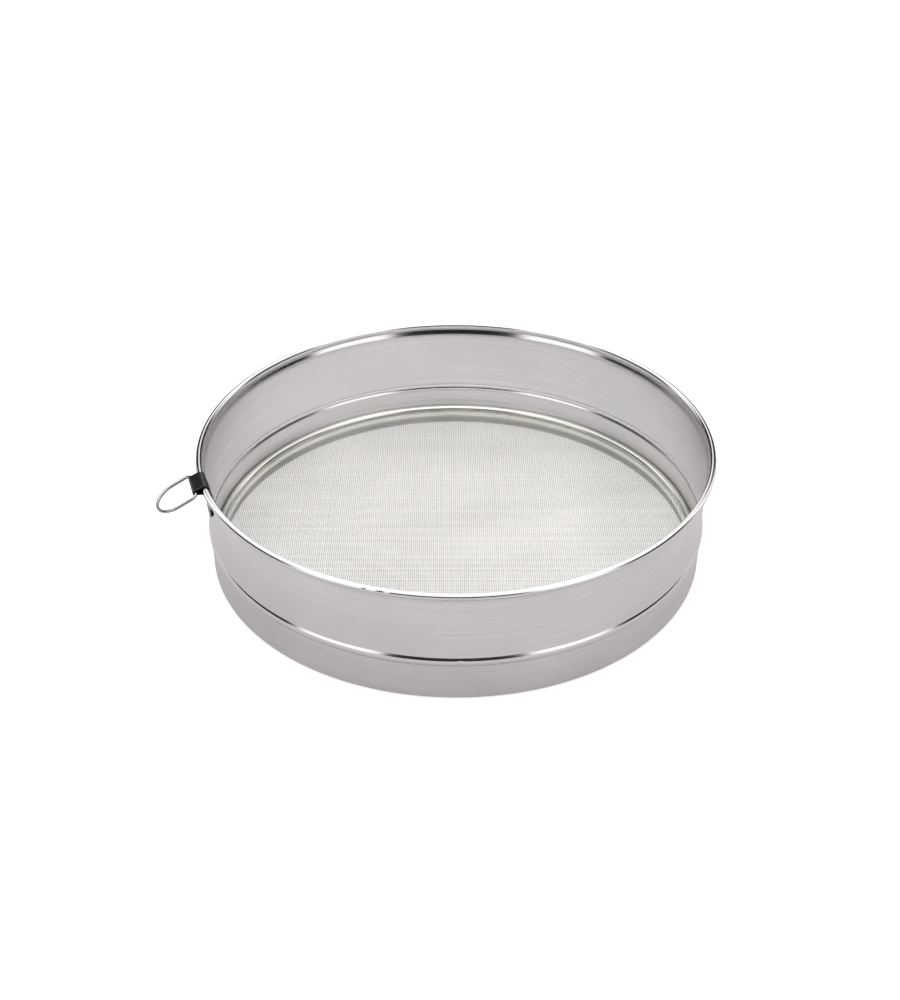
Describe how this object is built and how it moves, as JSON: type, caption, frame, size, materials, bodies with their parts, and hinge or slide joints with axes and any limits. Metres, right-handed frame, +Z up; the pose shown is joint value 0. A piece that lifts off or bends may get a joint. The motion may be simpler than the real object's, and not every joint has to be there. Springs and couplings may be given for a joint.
{
  "type": "tamis drum sieve",
  "caption": "Round drum sieve: polished steel hoop with a wired rim and a bead, flat woven wire cloth clamped above the base, and a swinging hanging loop.",
  "frame": {"origin": "centre of the base ring, on the plane that the drum stands on", "axes": "+Z up along the drum's axis, -X towards the hanger, Y along the hanging loop's bar"},
  "size_m": [0.3249, 0.3, 0.073],
  "materials": {
    "polished_steel": "bright polished stainless sheet",
    "drawn_wire": "drawn stainless wire",
    "ring_steel": "bright drawn half-round and pressed stainless sheet",
    "woven_cloth": "plain woven stainless wire cloth",
    "strap_steel": "bent stainless strip, darker than the drum",
    "loop_wire": "bright stainless wire"
  },
  "bodies": {
    "sieve": {"drum_hoop": "polished_steel", "rim_wire": "drawn_wire", "clamp_ring": "ring_steel", "wire_cloth": "woven_cloth", "support_ring": "ring_steel", "hanger_strap": "strap_steel"},
    "loop": {"hanging_loop": "loop_wire"}
  },
  "joints": [
    {"name": "loop_swing", "type": "hinge", "parent": "sieve", "child": "loop", "pos_m": [-0.1531, 0, 0.0694], "axis": [0, 1, 0], "range_deg": [-78, 162]}
  ]
}
